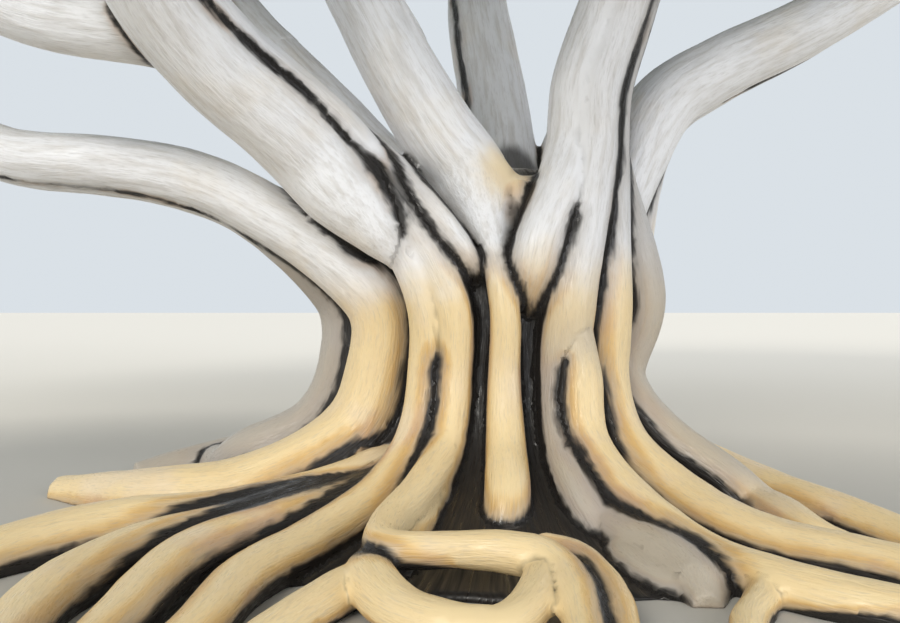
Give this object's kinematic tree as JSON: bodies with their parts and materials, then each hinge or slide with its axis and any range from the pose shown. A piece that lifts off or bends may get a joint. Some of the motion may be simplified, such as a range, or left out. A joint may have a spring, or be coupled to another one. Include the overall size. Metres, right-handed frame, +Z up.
{
  "type": "banyan tree",
  "caption": "Whole banyan tree with a fluted trunk of fused stems, snaking surface roots, spreading boughs and a broad domed crown.",
  "frame": {"origin": "on level ground under the middle of the trunk, at the ground mount", "axes": "+Z up along the trunk, front of the tree towards -Y, right of the tree towards +X as seen from the front"},
  "size_m": [27.1301, 25.0125, 17.3376],
  "materials": {
    "root_bark": "matt, cream and ochre bark with charcoal creases",
    "bough_bark": "matt, smooth pale grey bark",
    "leaves": "leathery, slightly glossy green leaves"
  },
  "bodies": {
    "root": {"trunk": "root_bark", "bough_low_left": "bough_bark", "bough_high_left": "bough_bark", "bough_centre_left": "bough_bark", "bough_rear": "bough_bark", "bough_centre_right": "bough_bark", "bough_right": "bough_bark", "bough_rear_left": "bough_bark", "bough_rear_right": "bough_bark", "limb_left": "bough_bark", "limb_upper_front": "bough_bark", "limb_top": "bough_bark", "limb_upper_rear": "bough_bark", "limb_upper_right": "bough_bark", "limb_front_right": "bough_bark", "limb_right_front": "bough_bark", "foliage_right": "leaves", "foliage_rear_right": "leaves", "foliage_rear": "leaves", "foliage_rear_left": "leaves", "foliage_left": "leaves", "foliage_left_front": "leaves", "foliage_front_left": "leaves", "foliage_front_right": "leaves", "foliage_right_front": "leaves", "foliage_upper_right": "leaves", "foliage_upper_rear": "leaves", "foliage_upper_left": "leaves", "foliage_upper_front": "leaves", "foliage_upper_front_right": "leaves", "foliage_top": "leaves"}
  },
  "joints": []
}
